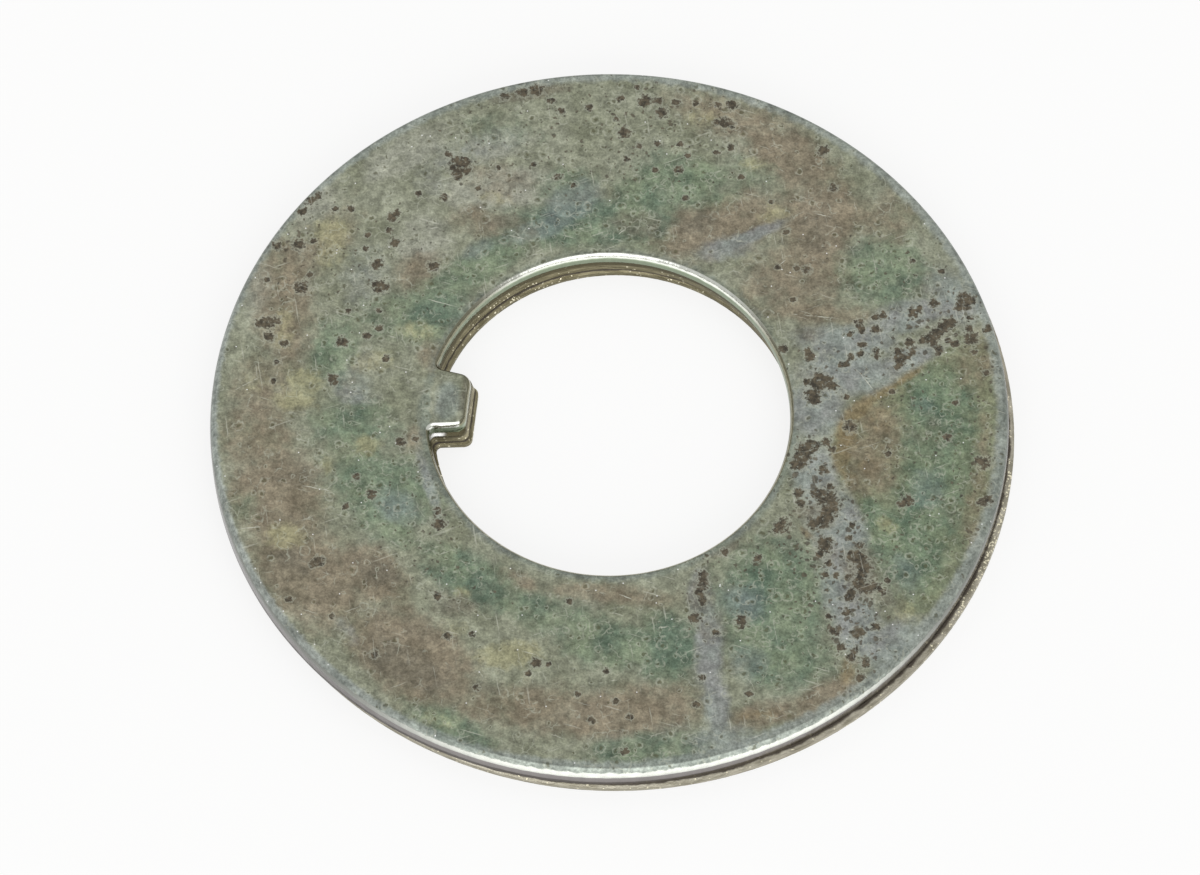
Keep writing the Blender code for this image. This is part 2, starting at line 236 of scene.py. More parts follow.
# Scratches that catch the light: both ends
scratches = [
    (-13, 12.2, -12.3, 12.4), (-8.1, 14.9, -7.8, 14), (2, -12.8, 3, -13.1), (10.4, 8.4, 14, 8.4),
    (-17.2, 7.4, -16.7, 7.4), (-12.8, 7.1, -10.2, 6.6), (-4, 14.3, -3, 14.5), (-7.9, 12.3, -6.6, 12.1),
    (-1.4, 12.4, .4, 14.4), (4.2, -15, 6.2, -14.6), (0, -19.6, 3.2, -18.6), (-19.2, -7.2, -16.4, -7.5),
    (11.6, 16, 12.8, 15.8), (9.4, 11.6, 10.2, 12.4), (-3.6, 13.2, -3, 13.3), (19.6, -8.4, 20.4, -8.9),
    (-24, -1, -21.6, .8), (-22.9, -10.9, -20.6, -10.4), (-6.2, 11, -5.2, 11.2), (-7, 10.6, -6.2, 10.9),
    (14.6, 4, 16.6, 4.3), (15.4, 4.8, 16.8, 3.2),
]


def inScene(name, data):  # a new object, linked to the scene
    made = bpy.data.objects.new(name, data)
    bpy.context.scene.collection.objects.link(made)
    return made


def arcPoints(centreX, centreY, radius, start, end, count):
    angles = np.linspace(start, end, count)
    return [(centreX + radius * cos(a), centreY + radius * sin(a)) for a in angles]


def rimOutline(inset, flare):  # counter-clockwise
    radius = washer["outerDiameter"] / 2 - inset
    return arcPoints(0, 0, radius, 0, 2 * pi, washer["rimPoints"] + 1)[:-1]


def boreOutline(inset, flare):  # clockwise, tab on the -X side
    angle = radians(washer["tabFlankAngle"])
    sine, cosine = sin(angle), cos(angle)
    radius = washer["boreDiameter"] / 2 + inset
    corner = washer["tabCornerRadius"] - inset - flare
    root = washer["tabRootRadius"] + inset
    tipX = washer["tabLength"] - washer["boreDiameter"] / 2 - inset
    halfTip = washer["tabTipWidth"] / 2 + flare - inset / cosine + inset * sine / cosine
    cornerY = halfTip + sine * corner * (1 - sine) / cosine - cosine * corner
    cornerArc = arcPoints(tipX - corner, cornerY, corner, 0, pi / 2 - angle, washer["cornerPoints"])
    startX, startY = tipX + sine * root, halfTip + cosine * root
    along = sine * startY - cosine * startX
    run = sqrt(along ** 2 + (radius - root) ** 2 - startX ** 2 - startY ** 2) - along
    rootX, rootY = startX - cosine * run, startY + sine * run
    touch = atan2(rootY, rootX)
    rootArc = arcPoints(rootX, rootY, root, 1.5 * pi - angle, touch, washer["cornerPoints"])
    tip = [(tipX, cornerY * share) for share in np.linspace(0, 1, washer["tipPoints"])[:-1]]
    flank = np.linspace(cornerArc[-1], rootArc[0], washer["flankPoints"] + 2)[1:-1]
    upper = tip + cornerArc + [tuple(p) for p in flank] + rootArc
    boreArc = arcPoints(0, 0, radius, touch, -touch, washer["boreArcPoints"])
    return upper + boreArc[1:-1] + [(x, -y) for x, y in reversed(upper[1:])]


def wallLevels(roll, hasBand):  # each: height, inset, push, flare, torn
    w = washer
    crack, half, deep, foot = w["crackHeight"], w["crackHalf"], w["crackDepth"], w["landFoot"]
    start = w["crackPush"][hasBand]
    slope = start + 0.7 * w["slopeStartShare"]
    levels = [(0, w["footWidth"], 1, 1, 0), (w["footHeight"], 0, 1, 1, 0.8), (w["slopeFoot"], 0, 1, 1, 1),
              (crack - half, deep, slope, 1, 0.6), (crack, deep, start, 1, 0.3),
              (crack + half, deep / 2, start, 1, 0.1)]
    if hasBand:
        band = w["bandInset"]
        levels += [(crack + 2 * half, band, 0.5, 1, 0.3), (foot - 0.2, band, 0.12, 1, 0.35),
                   (foot - 0.05, band, 0.03, 0.25, 0.25), (foot, 0, 0, 0, 0)]
    else:
        levels.append((crack + 2 * half, 0, 0, 0, 0))
    landTop = w["thickness"] - roll[1]
    levels.append((landTop, 0, 0, 0, 0))
    fine = [levels[0]]
    for low, high in zip(levels, levels[1:]):
        count = max(1, ceil((high[0] - low[0]) / w["levelStep"]))
        fine += [tuple(v) for v in np.linspace(low, high, count + 1)[1:]]
    for step in range(1, w["rollSteps"] + 1):
        turn = pi / 2 * step / w["rollSteps"]
        fine.append((landTop + roll[1] * sin(turn), roll[0] * (1 - cos(turn)), 0, 0, 0))
    return fine


class Shell:  # collects the points and faces of one mesh
    def __init__(self):
        self.points, self.faces = [], []
        self.torn, self.inward, self.tornFaces = [], [], []

    def addWall(self, outline, levels):
        direction = radians(washer["breakOutDirection"])
        pushX = washer["breakOutShift"] * cos(direction)
        pushY = washer["breakOutShift"] * sin(direction)
        rings = []
        for height, inset, push, flare, torn in levels:
            ring = np.array(outline(inset, flare * washer["tabFlare"]))
            ahead = np.roll(ring, -1, axis=0) - np.roll(ring, 1, axis=0)
            inward = np.stack([-ahead[:, 1], ahead[:, 0]], 1) / np.linalg.norm(ahead, axis=1)[:, None]
            first = len(self.points)
            rings.append(range(first, first + len(ring)))
            ring = ring + np.array([pushX, pushY]) * push
            self.points += [(x, y, height) for x, y in ring]
            self.inward += [(x, y, 0) for x, y in inward]
            self.torn += [torn] * len(ring)
        for low, high, level in zip(rings, rings[1:], levels[1:]):
            for i in range(len(low)):
                self.faces.append((low[i - 1], low[i], high[i], high[i - 1]))
                self.tornFaces.append(level[0] <= washer["landFoot"] and level[4] > 0)
        return rings[0], rings[-1]

    def addFace(self, rim, bore, spacing, upward, extra):
        outer = [self.points[i][:2] for i in rim]
        inner = [self.points[i][:2] for i in bore]
        height = self.points[rim[0]][2]
        grid = faceGrid(np.array(outer), np.array(inner), spacing, extra)
        corners = [Vector(p) for p in outer + inner + grid]
        index = list(rim) + list(bore) + list(range(len(self.points), len(self.points) + len(grid)))
        self.points += [(x, y, height) for x, y in grid]
        self.torn += [0] * len(grid)
        self.inward += [(0, 0, 0)] * len(grid)
        rimEnd, boreEnd = len(outer), len(outer) + len(inner)
        edges = [(i, (i + 1) % rimEnd) for i in range(rimEnd)]
        edges += [(rimEnd + i, rimEnd + (i + 1) % len(inner)) for i in range(len(inner))]
        found, _, triangles, *_ = delaunay_2d_cdt(corners, edges, [], 0, 1e-7)
        assert len(found) == len(corners)
        for a, b, c in triangles:
            if min(a, b, c) >= rimEnd and max(a, b, c) < boreEnd:
                if insidePolygon((found[a] + found[b] + found[c]) / 3, inner):
                    continue
            turn = (found[b] - found[a]).cross(found[c] - found[a])
            if (turn > 0) != upward:
                b, c = c, b
            self.faces.append((index[a], index[b], index[c]))
            self.tornFaces.append(False)


def insidePolygon(point, polygon):
    x, y = point
    inside = False
    for (ax, ay), (bx, by) in zip(polygon, polygon[1:] + polygon[:1]):
        if (ay > y) != (by > y) and x < ax + (bx - ax) * (y - ay) / (by - ay):
            inside = not inside
    return inside


def signedDistance(x, y, polygon):  # negative inside
    best = np.full(x.shape, 1e9)
    inside = np.zeros(x.shape, bool)
    for (ax, ay), (bx, by) in zip(polygon, polygon[1:] + polygon[:1]):
        ex, ey = bx - ax, by - ay
        share = np.clip(((x - ax) * ex + (y - ay) * ey) / (ex * ex + ey * ey), 0, 1)
        best = np.minimum(best, np.hypot(x - ax - share * ex, y - ay - share * ey))
        crosses = (ay > y) != (by > y)
        inside ^= crosses & (x < ax + ex * (y - ay) / (ey if ey else 1e-9))
    return np.where(inside, -best, best)


# The points between rim and bore: a shaken grid, with a small ring at every corrosion spot
def faceGrid(outer, inner, spacing, extra):
    shake = random.Random(11)
    row = spacing * sqrt(3) / 2
    reach = washer["outerDiameter"] / 2
    found = []
    for j in range(int(2 * reach / row) + 2):
        y = -reach + j * row
        for i in range(int(2 * reach / spacing) + 2):
            x = -reach + (i + (j % 2) / 2) * spacing
            found.append((x + shake.uniform(-0.2, 0.2) * spacing, y + shake.uniform(-0.2, 0.2) * spacing))
    found = np.array(found)
    rings = []
    for x, y, radius in extra:
        found = found[np.hypot(found[:, 0] - x, found[:, 1] - y) > radius + 0.07]
        rings += [(x, y)] + arcPoints(x, y, radius * 0.85, 0, 2 * pi, 7)[:-1]
    keep = np.concatenate([found, np.array(rings)]) if rings else found
    margin = spacing * 0.55
    centre = outer.mean(0)
    radius = np.hypot(*(outer - centre).T).min()
    keep = keep[np.hypot(*(keep - centre).T) < radius - margin]
    near = np.hypot(*keep.T) < washer["boreDiameter"] / 2 + 3
    clear = signedDistance(keep[near, 0], keep[near, 1], [tuple(p) for p in inner]) > margin
    keep = np.concatenate([keep[~near], keep[near][clear]])
    thinned, seen = [], set()
    for x, y in np.round(keep, 5):  # spots that overlap share their points
        cell = (round(x / 0.05), round(y / 0.05))
        if cell not in seen:
            seen.add(cell)
            thinned.append((float(x), float(y)))
    return thinned


def patchWeight(x, y, patches):
    weight = np.zeros(x.shape)
    for cx, cy, halfLength, halfWidth, turn, strength in patches:
        cosine, sine = cos(radians(turn)), sin(radians(turn))
        along = ((x - cx) * cosine + (y - cy) * sine) / halfLength
        across = ((y - cy) * cosine - (x - cx) * sine) / halfWidth
        soft = strength / (1 + np.exp((np.hypot(along, across) - 1) * wear["stainEdge"]))
        weight = np.maximum(weight, soft) + wear["overlap"] * np.minimum(weight, soft)
    return np.clip(weight, 0, 1.2)


# Where the washer is worn and torn, beside the stains: radii and places in mm, bearings in degrees
wear = {
    "stainEdge": 4.5,  # how crisp the patches end
    "overlap": 0.25,  # how much patches add up
    "undersideTurn": 137,  # the underside takes the same stains, turned ...
    "undersideShare": 0.7,  # ... and weaker, so that it isn't a copy of the top
    "middle": 18,  # parts the rim's side from the bore's side
    "rimFrom": 24.3,
    "boreTo": 12.5,
    "paleFrom": 24.85,
    "lowerLeft": 205,  # bearing of the pale stretch of the rim, worn zinc that is painted light as a highlight too
    "grainy": ((-14, 13, 1), (132, 14, 0.25)),  # where the torn steel takes more painted glints, rim and bore: bearing, reach, strength
    "rubbed": ((-76, 40, 4), (88, 48, 6)),  # clean, worn shoulder of rim and bore, painted bright as a highlight there: bearing, reach, crispness
    "shine": (-10.75, 0.42, 1.36, 0.08),  # a painted highlight on the tab's lower flank: x, reach, z, reach
}


def surfaceFields(points):  # stain weights for every point of the washer
    x, y, z = points.T
    upper = z > washer["thickness"] - 0.6
    turn = radians(wear["undersideTurn"])
    underX = -(x * cos(turn) - y * sin(turn))
    underY = x * sin(turn) + y * cos(turn)
    fx, fy = np.where(upper, x, underX), np.where(upper, y, underY)
    share = np.where(upper, 1, wear["undersideShare"])
    fields = {name: patchWeight(fx, fy, patches) * share for name, patches in stains.items()}
    inside = np.clip(0.5 - signedDistance(fx, fy, oliveGround) / 0.5, 0, 1)
    fields["olive"] = inside * share
    fields["worn"] = fields["worn"] * (1 - inside)
    radius = np.hypot(x, y)
    bearing = np.degrees(np.arctan2(y, x))
    outside = radius > wear["middle"]
    fromLeft = (bearing - wear["lowerLeft"] + 180) % 360 - 180
    left = np.exp(-(fromLeft / 60) ** 4)
    rim = np.clip((radius - wear["rimFrom"] - 0.4 * left) / 0.6, 0, 1)
    fields["rimWear"] = np.where(upper, rim, 0.6)
    boreEdge = np.clip((wear["boreTo"] - radius) / 0.7, 0, 1) * np.where(y < 0, 1, 0.6)
    fields["boreWear"] = np.where(upper, np.where(radius < 11.4, 0.15, boreEdge), 0.4)
    fields["boreSide"] = (radius < wear["middle"]).astype(float)
    fields["tabSide"] = np.clip((2.7 - np.abs(y)) / 0.3, 0, 1) * ((x < 0) & (radius < 12.2))
    # a painted highlight on the tab's lower flank
    atX, reachX, atZ, reachZ = wear["shine"]
    flankGlint = np.exp(-((x - atX) / reachX) ** 4 - ((z - atZ) / reachZ) ** 4)
    fields["shine"] = flankGlint * (y < 0) * (radius < 12)
    # more painted glints on the torn steel here
    grains = [strength * np.exp(-((bearing - at) / reach) ** 2) for at, reach, strength in wear["grainy"]]
    fields["grainy"] = np.where(outside, *grains)
    # the worn clean shoulders and the tab's lower flank: clean zinc, painted bright as a highlight
    rimRubbedHighlight, boreRubbedHighlight = [np.exp(-((bearing - at) / reach) ** n) for at, reach, n in wear["rubbed"]]
    tabFlank = (y < -1.2) & (y > -2.4) & (x < -9.4) & (x > -11.7)
    fields["rubbed"] = np.where(outside, rimRubbedHighlight, np.where(tabFlank, 1, boreRubbedHighlight))
    # the worn rim at the lower left, partly a painted highlight
    fields["paleRim"] = np.clip((radius - wear["paleFrom"]) / 0.2, 0, 1) * np.exp(-(fromLeft / 45) ** 4)
    fields["spot"] = np.zeros(len(x))
    for cx, cy, r in spots:
        near = np.hypot(x - cx, y - cy)
        value = np.clip(1.5 - near / r * 0.55, 0, 1) * (near < r * 2.7)
        fields["spot"] = np.maximum(fields["spot"], np.where(upper, value, 0))
    return fields


def buildWasher():
    shell = Shell()
    rimLow, rimHigh = shell.addWall(rimOutline, wallLevels(washer["rimRoll"], False))
    boreLow, boreHigh = shell.addWall(boreOutline, wallLevels(washer["boreRoll"], True))
    shell.addFace(rimHigh, boreHigh, washer["faceGrid"], True, spots)
    shell.addFace(rimLow, boreLow, washer["undersideGrid"], False, [])
    points = np.array(shell.points, float)
    mesh = bpy.data.meshes.new("zinc_washer")
    mesh.from_pydata((points * mm).tolist(), [], shell.faces)
    mesh.validate()
    fields = surfaceFields(points)
    fields["torn"] = np.array(shell.torn)
    for name, values in fields.items():
        layer = mesh.attributes.new(name, "FLOAT", "POINT")
        layer.data.foreach_set("value", values.astype(np.float32))
    inward = mesh.attributes.new("inward", "FLOAT_VECTOR", "POINT")
    inward.data.foreach_set("vector", np.array(shell.inward, np.float32).ravel())
    tornFace = mesh.attributes.new("tornFace", "BOOLEAN", "FACE")
    tornFace.data.foreach_set("value", np.array(shell.tornFaces, bool))
    print("washer shell:", len(points), "points,", len(shell.faces), "faces")
    return inScene("zinc_washer", mesh)


def linearColour(code):  # sRGB hex to the linear colour of a socket
    channels = [int(code[i:i + 2], 16) / 255 for i in (1, 3, 5)]
    return tuple(c / 12.92 if c <= 0.04045 else ((c + 0.055) / 1.055) ** 2.4 for c in channels) + (1.0,)


# Settings that several nodes share
smooth = {"interpolation_type": "SMOOTHSTEP"}
seeded = {"noise_dimensions": "4D"}
flat = {"voronoi_dimensions": "2D"}
inColour = {"data_type": "RGBA"}
capped = {"use_clamp": True}


# Adds a node: its kind with the operation behind it, or a Math node's operation alone, then its
# settings. Values in a row fill its open inputs in their order, named ones the input of that name.
# A node stands for its first open output.
def addNode(tree, kind, *values, **named):
    settings = {}
    if values and isinstance(values[0], dict):
        settings, *values = values
    kind, _, operation = ("Math " + kind if kind.isupper() else kind).partition(" ")
    made = tree.nodes.new(kind if "Node" in kind else "ShaderNode" + kind)
    if operation:
        made.operation = operation
    for name, value in settings.items():
        setattr(made, name, value)
    sockets = [socket for socket in made.inputs if socket.enabled][:len(values)]
    sockets += [made.inputs[name] for name in named]
    for socket, value in zip(sockets, [*values, *named.values()]):
        if isinstance(value, bpy.types.Node):
            value = next(output for output in value.outputs if output.enabled)
        if isinstance(value, bpy.types.NodeSocket):
            tree.links.new(value, socket)
        else:
            isHex = isinstance(value, str) and value.startswith("#")
            socket.default_value = linearColour(value) if isHex else value
    return made


def emptied(block):  # a material or world without nodes, and how to add them
    block.use_nodes = True
    block.node_tree.nodes.clear()
    return block, partial(addNode, block.node_tree)


# Geometry Nodes: tear the break-out, let the crack line wander and sink the pits
def tearEdges(piece, plateMaterial, tornMaterial):
    tree = bpy.data.node_groups.new("tornEdge", "GeometryNodeTree")
    add = partial(addNode, tree)
    for way in ("INPUT", "OUTPUT"):
        tree.interface.new_socket("Geometry", in_out=way, socket_type="NodeSocketGeometry")
    named = {}
    for name in tornEdge:
        named[name] = tree.interface.new_socket(name, in_out="INPUT", socket_type="NodeSocketFloat")
    entry = add("NodeGroupInput").outputs
    inMm = add("VectorMath SCALE", add("GeometryNodeInputPosition"), 1 / mm)
    fieldOf = {"torn": "FLOAT", "spot": "FLOAT", "inward": "FLOAT_VECTOR", "tornFace": "BOOLEAN"}
    for name, kind in fieldOf.items():
        fieldOf[name] = add("GeometryNodeInputNamedAttribute", {"data_type": kind}, Name=name)
    # torn break-out: crumbs always go into the metal, so the washer keeps its size
    grain = add("DIVIDE", 1, entry["Torn Grain"])
    crumbs = add("TexNoise", seeded, inMm, W=entry["Seed"], Scale=grain, Detail=3, Roughness=0.65)
    depth = add("MULTIPLY", crumbs, entry["Torn Depth"])
    tear = add("VectorMath SCALE", fieldOf["inward"], add("MULTIPLY", depth, fieldOf["torn"]))
    # crack line: wanders up and down where the wall is torn, not at the foot
    wander = add("TexNoise", seeded, inMm, W=entry["Seed"], Scale=0.45, Detail=2)
    waved = add("MULTIPLY", add("SUBTRACT", wander, 0.5), entry["Crack Wave"])
    height = add("SeparateXYZ", inMm).outputs["Z"]
    crack, top = washer["crackHeight"], washer["thickness"]
    nearCrack = add("MapRange", smooth, height, 0.1, crack)
    aboveCrack = add("MapRange", smooth, height, crack, 1.6, 1, 0)
    crackRise = add("MULTIPLY", waved, add("MULTIPLY", nearCrack, aboveCrack))
    # pits under the corrosion spots and the slight unevenness of the plate, both downwards
    onTop = add("MapRange", height, top - 0.05, top - 0.01)
    pit = add("MULTIPLY", fieldOf["spot"], entry["Pit Depth"])
    swell = add("TexNoise", seeded, inMm, W=entry["Seed"], Scale=0.25, Detail=2)
    uneven = add("MULTIPLY_ADD", swell, entry["Face Wave"], pit)
    lift = add("CombineXYZ", Z=add("SUBTRACT", crackRise, add("MULTIPLY", uneven, onTop)))
    offset = add("VectorMath ADD", tear, lift)
    moved = add("GeometryNodeSetPosition", Geometry=entry["Geometry"], Offset=offset)
    real = add("GeometryNodeRealizeInstances", Geometry=moved)
    plated = add("GeometryNodeSetMaterial", Geometry=real, Material=plateMaterial)
    isTorn = fieldOf["tornFace"]
    broken = add("GeometryNodeSetMaterial", Geometry=plated, Selection=isTorn, Material=tornMaterial)
    add("NodeGroupOutput", Geometry=broken)
    modifier = piece.modifiers.new("tornEdge", "NODES")
    modifier.node_group = tree
    for name, socket in named.items():
        modifier[socket.identifier] = tornEdge[name]
    graph = bpy.context.evaluated_depsgraph_get()
    made = bpy.data.meshes.new_from_object(piece.evaluated_get(graph))
    piece.modifiers.remove(modifier)
    old = piece.data
    piece.data = made
    made.name = "zinc_washer"
    bpy.data.meshes.remove(old)


# Zinc plate with an aged yellow-green passivate on punched steel: a satin metal, mottled in green,
# tan and blue-grey, with dark brown corrosion specks and a few bright scratches. Painted highlights
# lie on the worn clean shoulders, the pale rim and the glints, painted shade along the land's foot.
plateFinish = {
    "ground": ("#929583", "#7c7f6c"),
    "layers": [  # attribute, colours, cover, size in mm of its ragged edge and that edge's share
        ("pale", ("#a1a295", "#98998e"), 0.70, 1.1, 0.55),
        ("olive", ("#767a60", "#7c846b"), 0.80, 0.9, 0.25),
        ("tan", ("#8a7d6b", "#7d7261"), 0.75, 1.0, 0.60),
        ("green", ("#7b8a71", "#52695a"), 0.75, 0.9, 0.60),
        ("bluish", ("#7a8784", "#7e878a"), 0.50, 0.8, 0.50),
        ("yellow", ("#aaa683", "#a19e7b"), 0.62, 0.5, 0.70),
        ("rust", ("#857558", "#786b52"), 0.72, 0.6, 0.55),
        ("worn", ("#8d9590", "#8a8c8b"), 0.85, 0.6, 0.40),
        ("shade", ("#6c685c", "#716c5e"), 0.75, 0.7, 0.60),
        ("rimWear", ("#969d98", "#878f8a"), 0.75, 0.5, 0.60),
        ("boreWear", ("#7f887c", "#747b78"), 0.70, 0.4, 0.50),
        # the worn rim at the lower left, painted paler as a highlight too
        ("paleRim", ("#aab0aa", "#969c96"), 0.75, 0.4, 0.50),
    ],
    "grain": [(0.15, 0.60), (0.42, 0.66), (1.3, 0.46)],  # sand and blotches: size in mm, contrast
    "specks": [(0.62, 0.93), (0.36, 0.90)],  # cell size in mm, how rare
    "speckStrength": 0.78,
    "blisters": [(1.05, 0.12), (0.60, 0.08)],  # pale rings round a dark dot: cell size in mm, how many
    "ringStrength": 0.46,
    "dotStrength": 0.62,
    "scratchWidth": 0.035,
    "scratchStrength": 0.8,
    "hairlines": [(12, 0.65, 0.38), (-28, 0.67, 0.34), (75, 0.67, 0.38)],  # turn, how rare, strength
    "scratchColour": "#c9cabc",
    "ringColour": "#b2b5a5",
    "dotColour": "#55543f",
    # painted glints
    "glintColour": "#ffffff",
    "spotColours": ("#38342a", "#675e4c"),
    "landColours": ("#837e7c", "#97a38b", "#6c7660"),  # rim, bore and tab
    # painted shade of the crack line along the land's foot
    "landFootShadeColour": "#48413a",
    "shoulderColours": ("#8c8e88", "#757361"),  # rim and bore
    # painted highlight of the worn clean shoulders
    "rubbedHighlightColour": "#d2d4cc",
    "shoulderFoot": (1.58, 2.04),  # where the clean shoulder ends, and with it its painted highlight, in mm: rim and bore
    "roughness": (0.24, 0.52),  # least and most, where the plate is plain
    "burnishedRoughness": 0.21,
    "corrodedRoughness": 0.8,
    "corrodedMetal": 0.15,
}


def inMillimetres(add):
    return add("Mapping", add("TexCoord").outputs["Object"], Scale=(1 / mm, 1 / mm, 1 / mm))


def stainLayers(add, place, weights):  # the ground and the stains of the passivate over it
    ground = add("TexNoise", place, Scale=1 / 2.5, Detail=4)
    spread = add("MapRange", ground, 0.35, 0.65)
    colour = add("Mix", inColour, spread, *plateFinish["ground"])
    for number, (name, colours, cover, size, share) in enumerate(plateFinish["layers"]):
        edge = add("TexNoise", seeded, place, W=number * 3.7, Scale=1 / size, Detail=4, Roughness=0.6)
        noisy = add("MULTIPLY_ADD", edge, 2 * share, -share)
        mask = add("MapRange", smooth, add("ADD", weights[name], noisy), 0.15, 0.95, 0, cover)
        tone = add("TexNoise", seeded, place, W=number * 5.1 + 40, Scale=1 / 1.8, Detail=3)
        stain = add("Mix", inColour, add("MapRange", tone, 0.38, 0.62), *colours)
        colour = add("Mix", inColour, mask, colour, stain)
    for size, strength in plateFinish["grain"]:
        sand = add("TexNoise", place, Scale=1 / size, Detail=2, Roughness=0.6)
        level = add("MapRange", {"clamp": False}, sand, 0, 1, 1 - strength, 1 + strength)
        colour = add("VectorMath SCALE", colour, level)
    return colour


def blisterMarks(add, place, jittered, weights):  # pale rings, dots and curls in the passivate
    most = partial(add, "MAXIMUM")
    lively = most(weights["green"], weights["speckled"])
    rings, dots = [], []
    for size, often in plateFinish["blisters"]:
        cells = add("TexVoronoi", flat, jittered, Scale=1 / size)
        chance = add("SeparateColor", cells.outputs["Color"])
        there = add("LESS_THAN", chance, add("MULTIPLY_ADD", lively, 0.45, often))
        radius = add("MapRange", chance.outputs["Green"], 0, 1, 0.16, 0.34)
        away = add("ABSOLUTE", add("SUBTRACT", cells, radius))
        ring = add("MapRange", smooth, away, 0.02, 0.09, 1, 0)
        rings.append(add("MULTIPLY", ring, there))
        dot = add("MapRange", smooth, cells, 0.07, 0.16, 1, 0)
        dot = add("MULTIPLY", dot, add("GREATER_THAN", chance.outputs["Blue"], 0.35))
        dots.append(add("MULTIPLY", dot, there))
    # curls: the borders of wavy cells, shown only here and there
    curls = add("TexVoronoi", {**flat, "feature": "DISTANCE_TO_EDGE"}, jittered, Scale=1 / 0.85)
    curl = add("MapRange", smooth, curls, 0.015, 0.06, 1, 0)
    patchy = add("TexNoise", place, Scale=1 / 1.1, Detail=2)
    curl = add("MULTIPLY", curl, add("MapRange", smooth, patchy, 0.54, 0.66))
    broken = add("TexNoise", place, Scale=1 / 0.35, Detail=1)
    ring = add("MULTIPLY", reduce(most, rings), add("MapRange", broken, 0.36, 0.58))
    pale = add("MULTIPLY", most(ring, curl), plateFinish["ringStrength"])
    return pale, add("MULTIPLY", reduce(most, dots), plateFinish["dotStrength"])


def corrosionSpots(add, place, jittered, weights):
    dots = []
    for size, threshold in plateFinish["specks"]:  # fine specks: a dot in a cell now and then
        cells = add("TexVoronoi", flat, jittered, Scale=1 / size)
        chance = add("SeparateColor", cells.outputs["Color"])
        lively = add("MULTIPLY_ADD", weights["speckled"], 0.4, chance)
        dotSize = add("MapRange", lively, threshold, 1.4, 0, 0.45)
        dot = add("MapRange", smooth, add("SUBTRACT", dotSize, cells), -0.06, 0.08)
        dot = add("MULTIPLY", dot, add("GREATER_THAN", dotSize, 0.02))
        dots.append(add("MULTIPLY", dot, plateFinish["speckStrength"]))
    # the larger spots, with ragged borders and a pale seam round them
    ragged = add("TexNoise", place, Scale=3.4, Detail=4, Roughness=0.7)
    ragged = add("MULTIPLY_ADD", ragged, 2.1, weights["spot"])
    dots.append(add("MapRange", smooth, ragged, 1.65, 1.98))
    seam = add("MapRange", smooth, ragged, 1.42, 1.64, 0, 0.4)
    seam = add("MULTIPLY", seam, add("GREATER_THAN", weights["spot"], 0.05))
    # inside, dark rust and paler crumbs
    tone = add("TexNoise", place, Scale=1 / 0.32, Detail=3, Roughness=0.65)
    corroded = add("Mix", inColour, add("MapRange", tone, 0.36, 0.64), *plateFinish["spotColours"])
    return reduce(partial(add, "MAXIMUM"), dots), seam, corroded


def scratchLines(add, place, jitter):  # thin bright lines with a soft end
    most = partial(add, "MAXIMUM")
    wobble = add("VectorMath MULTIPLY_ADD", jitter, (0.1, 0.1, 0), place)
    lines = []
    for ax, ay, bx, by in scratches:
        turned = add("Mapping", {"vector_type": "TEXTURE"}, wobble,
                     Location=((ax + bx) / 2, (ay + by) / 2, 0), Rotation=(0, 0, atan2(by - ay, bx - ax)),
                     Scale=(hypot(bx - ax, by - ay) / 2, plateFinish["scratchWidth"], 1e6))
        lines.append(add("MapRange", add("VectorMath LENGTH", turned), 0.5, 1.1, 1, 0))
    broken = add("TexNoise", place, Scale=2.2, Detail=1)
    broken = add("MapRange", broken, 0.38, 0.6, 0, plateFinish["scratchStrength"])
    mask = add("MULTIPLY", reduce(most, lines), broken)
    for number, (turn, rare, strength) in enumerate(plateFinish["hairlines"]):
        drawn = add("Mapping", wobble, Rotation=(0, 0, radians(turn)))
        drawn = add("VectorMath MULTIPLY", drawn, (0.35, 6.5, 0))
        line = add("TexNoise", seeded, drawn, W=number * 7.3, Scale=1, Detail=1)
        line = add("MapRange", smooth, line, rare, rare + 0.07, 0, strength)
        zone = add("TexNoise", seeded, place, W=number * 9.1, Scale=1 / 2.2, Detail=1)
        zone = add("MapRange", smooth, zone, 0.46, 0.6)
        mask = most(mask, add("MULTIPLY", line, zone))
    return mask


